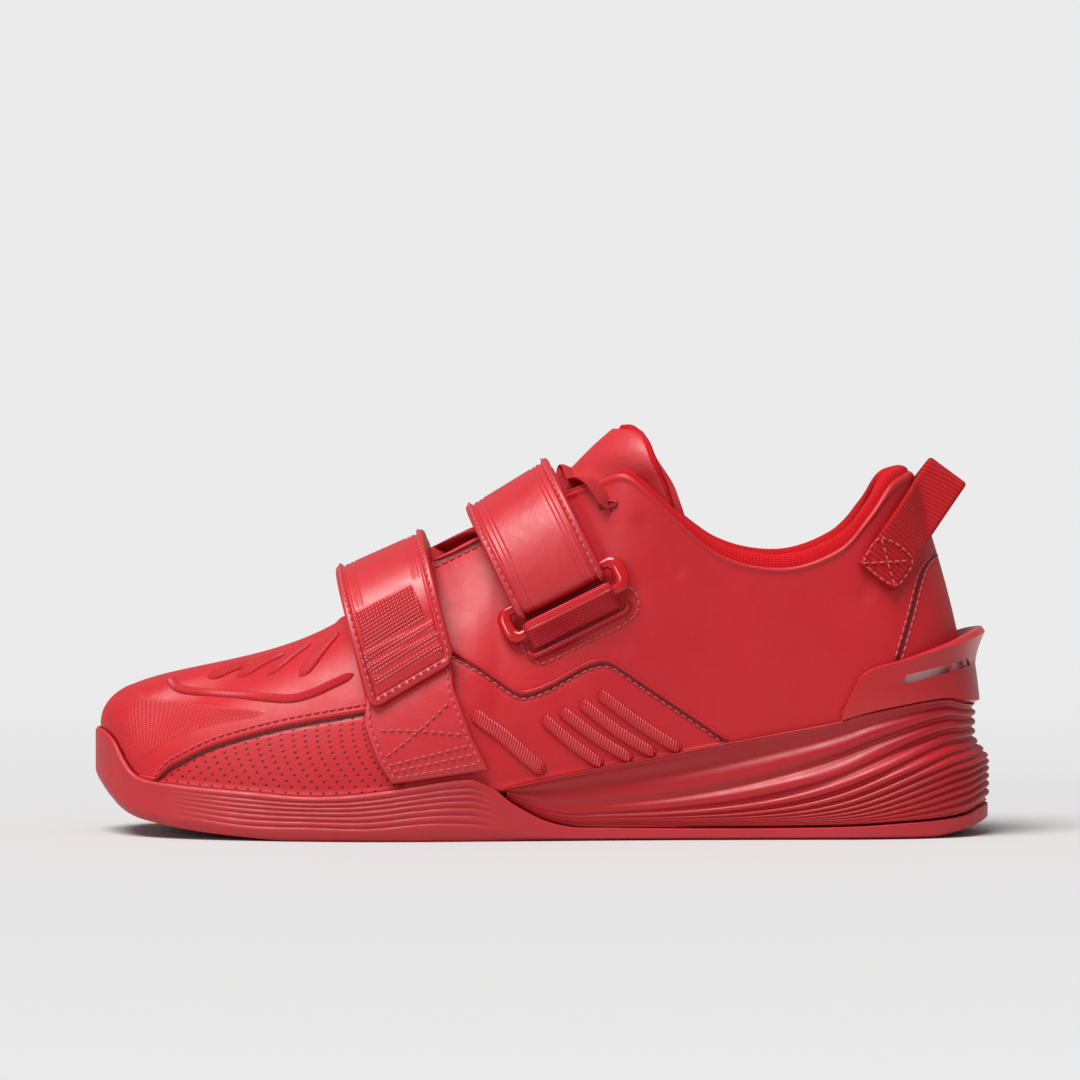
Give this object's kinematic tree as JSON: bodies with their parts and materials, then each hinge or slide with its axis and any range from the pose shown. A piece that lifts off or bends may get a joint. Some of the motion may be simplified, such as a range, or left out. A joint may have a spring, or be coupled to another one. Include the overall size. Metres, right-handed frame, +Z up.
{
  "type": "weightlifting shoe",
  "caption": "Red weightlifting shoe for the left foot, with a raised wedge heel, hook-and-loop straps over a laced instep, a padded collar and a heel pull loop.",
  "frame": {"origin": "on the flat underside, on the sole's middle line at half its length", "axes": "-X towards the toe, +X towards the heel, -Y towards the outer side of the left foot, +Z up"},
  "size_m": [0.2954, 0.1044, 0.1348],
  "materials": {
    "outsole": "matt red rubber, finely sanded look",
    "midsole": "satin red moulded wedge with flowing ridges",
    "upper": "smooth coated red synthetic leather, stitched and embossed",
    "insole": "red knit over foam",
    "tongue": "padded red synthetic with knit lining",
    "front_strap": "red synthetic strap with turned, stitched edges",
    "front_ring": "glossy red moulded ring",
    "front_webbing": "satin red ribbed webbing",
    "front_slot_rim": "satin red moulded rim",
    "rear_strap": "red synthetic strap with turned, stitched edges",
    "rear_ring": "glossy red moulded ring",
    "rear_webbing": "satin red ribbed webbing",
    "rear_slot_rim": "satin red moulded rim",
    "heel_clip": "glossy red moulded counter",
    "pull_loop": "red grosgrain ribbon",
    "laces": "flat woven red lace"
  },
  "bodies": {
    "root": {"outsole": "outsole", "midsole": "midsole", "upper": "upper", "insole": "insole", "tongue": "tongue", "front_strap": "front_strap", "front_ring": "front_ring", "front_webbing": "front_webbing", "front_slot_rim": "front_slot_rim", "rear_strap": "rear_strap", "rear_ring": "rear_ring", "rear_webbing": "rear_webbing", "rear_slot_rim": "rear_slot_rim", "heel_clip": "heel_clip", "pull_loop": "pull_loop", "laces": "laces"}
  },
  "joints": []
}
